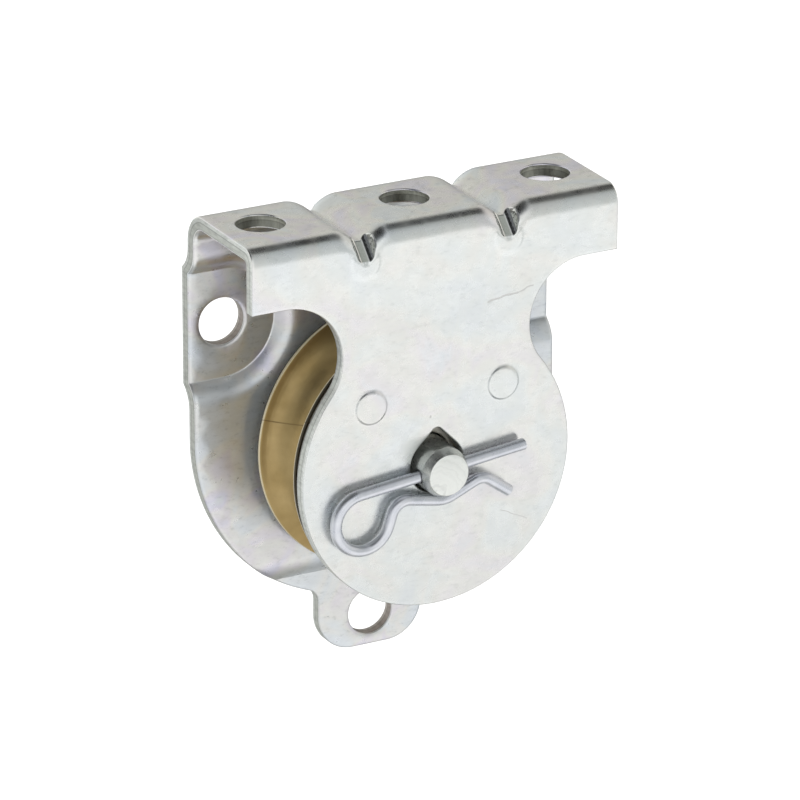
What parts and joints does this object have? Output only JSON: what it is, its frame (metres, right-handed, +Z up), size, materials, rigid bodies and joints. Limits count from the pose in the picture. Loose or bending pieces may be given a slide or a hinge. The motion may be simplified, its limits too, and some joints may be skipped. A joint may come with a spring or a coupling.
{
  "type": "single pulley",
  "caption": "Wall or ceiling pulley: a folded steel bracket holds a grooved sheave on an axle pin, which a hairpin clip keeps in place.",
  "frame": {"origin": "on the wall plane, on the centreline, at the middle of the flat land above the tab's screw hole", "axes": "+Y into the wall, +Z up towards the ceiling flange, +X along the bracket's width"},
  "size_m": [0.0542, 0.0242, 0.0678],
  "materials": {
    "zinc_sheet": "bright zinc plate, satin",
    "brass_sheave": "satin brass colour",
    "steel_pin": "turned, with a matte cut end",
    "zinc_wire": "bright drawn wire"
  },
  "bodies": {
    "frame": {"bracket": "zinc_sheet"},
    "axle": {"axle_pin": "steel_pin", "hitch_clip": "zinc_wire"},
    "wheel": {"sheave": "brass_sheave"}
  },
  "joints": [
    {"name": "axle_turn", "type": "hinge", "parent": "frame", "child": "axle", "pos_m": [0, -0.02076, 0.0226], "axis": [0, -1, 0], "continuous": true},
    {"name": "sheave_spin", "type": "hinge", "parent": "axle", "child": "wheel", "pos_m": [0, -0.01126, 0.0226], "axis": [0, -1, 0], "continuous": true}
  ]
}
